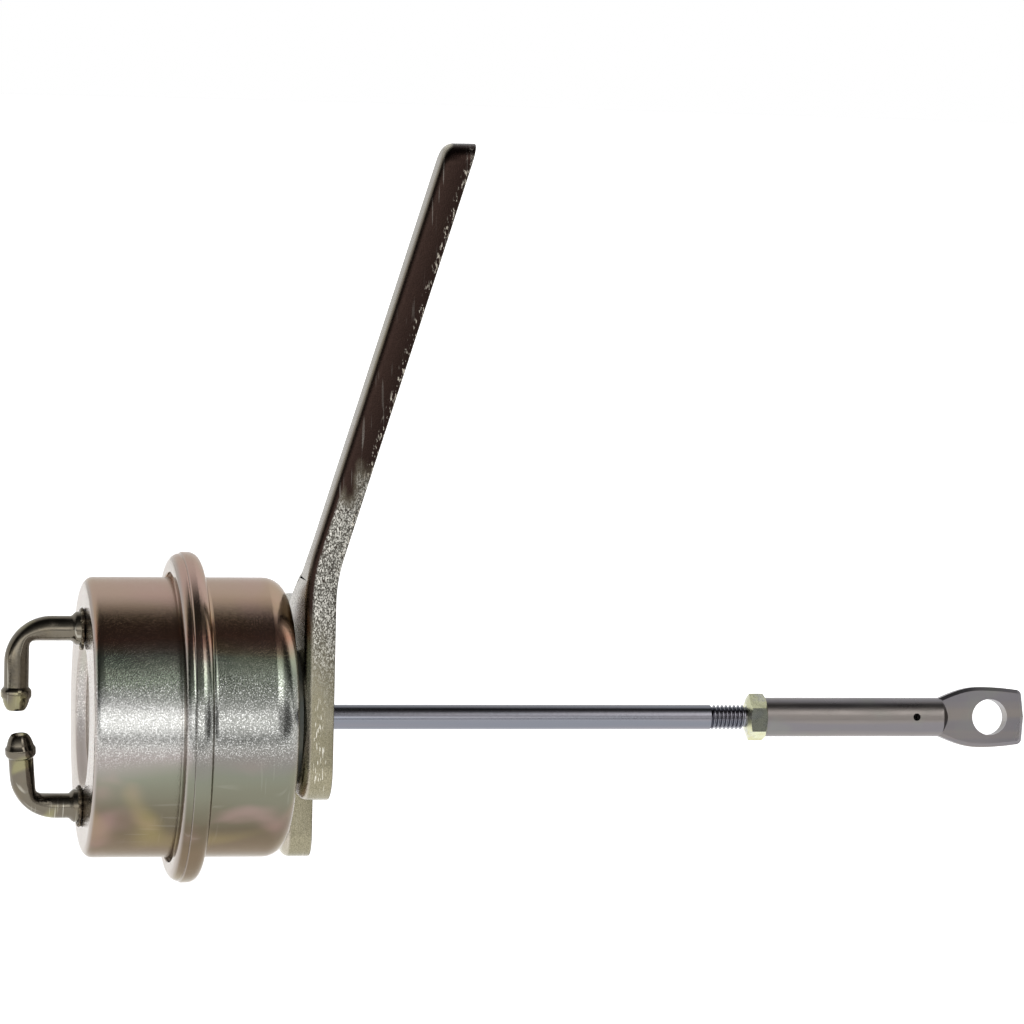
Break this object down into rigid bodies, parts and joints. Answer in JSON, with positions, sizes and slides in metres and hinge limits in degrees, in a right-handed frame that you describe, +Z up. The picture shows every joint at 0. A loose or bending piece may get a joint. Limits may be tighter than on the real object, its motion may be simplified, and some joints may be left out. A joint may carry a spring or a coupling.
{
  "type": "wastegate actuator",
  "caption": "Crimped diaphragm canister on a bent plate bracket, with hose ports behind and a sprung sliding rod that ends in a lock nut and a flattened eye.",
  "frame": {"origin": "on the rod's axis, at the bracket's front face, the datum that the rod's length is set from", "axes": "+X along the rod, out of the canister towards the eye; +Z up along the bracket's leg; -Y towards the side that the picture shows"},
  "size_m": [0.2512, 0.0794, 0.1787],
  "materials": {
    "can_plating": "yellow zinc plating over drawn steel, iridescent, fine pebbled grain",
    "port_nickel": "dark nickel plating, glossy",
    "braze": "dull plated braze fillet",
    "bracket_steel": "plated heavy plate with sheared, scratched edges",
    "gasket_fibre": "dark fibre sheet",
    "bush_bronze": "sintered bronze",
    "seal_rubber": "black rubber",
    "inner_steel": "plain pressed steel",
    "spring_steel": "oiled spring wire",
    "diaphragm_rubber": "fabric reinforced rubber",
    "rod_zinc": "clear zinc over drawn bar",
    "nut_zinc": "pale yellow zinc",
    "rod_end_steel": "satin plated steel"
  },
  "bodies": {
    "housing": {"cover_can": "can_plating", "base_can": "can_plating", "upper_port": "port_nickel", "upper_braze": "braze", "lower_port": "port_nickel", "lower_braze": "braze", "bracket": "bracket_steel", "gasket": "gasket_fibre", "guide_bush": "bush_bronze", "rod_seal": "seal_rubber", "seal_cap": "inner_steel", "spring_seat": "inner_steel", "main_spring": "spring_steel", "diaphragm": "diaphragm_rubber"},
    "plunger": {"rod": "rod_zinc", "piston": "inner_steel", "retainer_plate": "inner_steel", "clamp_washer": "inner_steel", "backing_washer": "inner_steel"},
    "nut": {"lock_nut": "nut_zinc"},
    "eye": {"rod_end": "rod_end_steel"}
  },
  "joints": [
    {"name": "rod_slide", "type": "slide", "parent": "housing", "child": "plunger", "axis": [1, 0, 0], "range_m": [0, 0.012], "stiffness_N_per_m": 11500, "springref_m": -0.023, "deforming": ["main_spring", "diaphragm"]},
    {"name": "lock_nut_turn", "type": "hinge", "parent": "plunger", "child": "nut", "pos_m": [0.106, 0, 0], "axis": [1, 0, 0], "range_deg": [-360, 0]},
    {"name": "rod_end_turn", "type": "hinge", "parent": "plunger", "child": "eye", "pos_m": [0.13, 0, 0], "axis": [1, 0, 0], "range_deg": [-180, 180]}
  ]
}
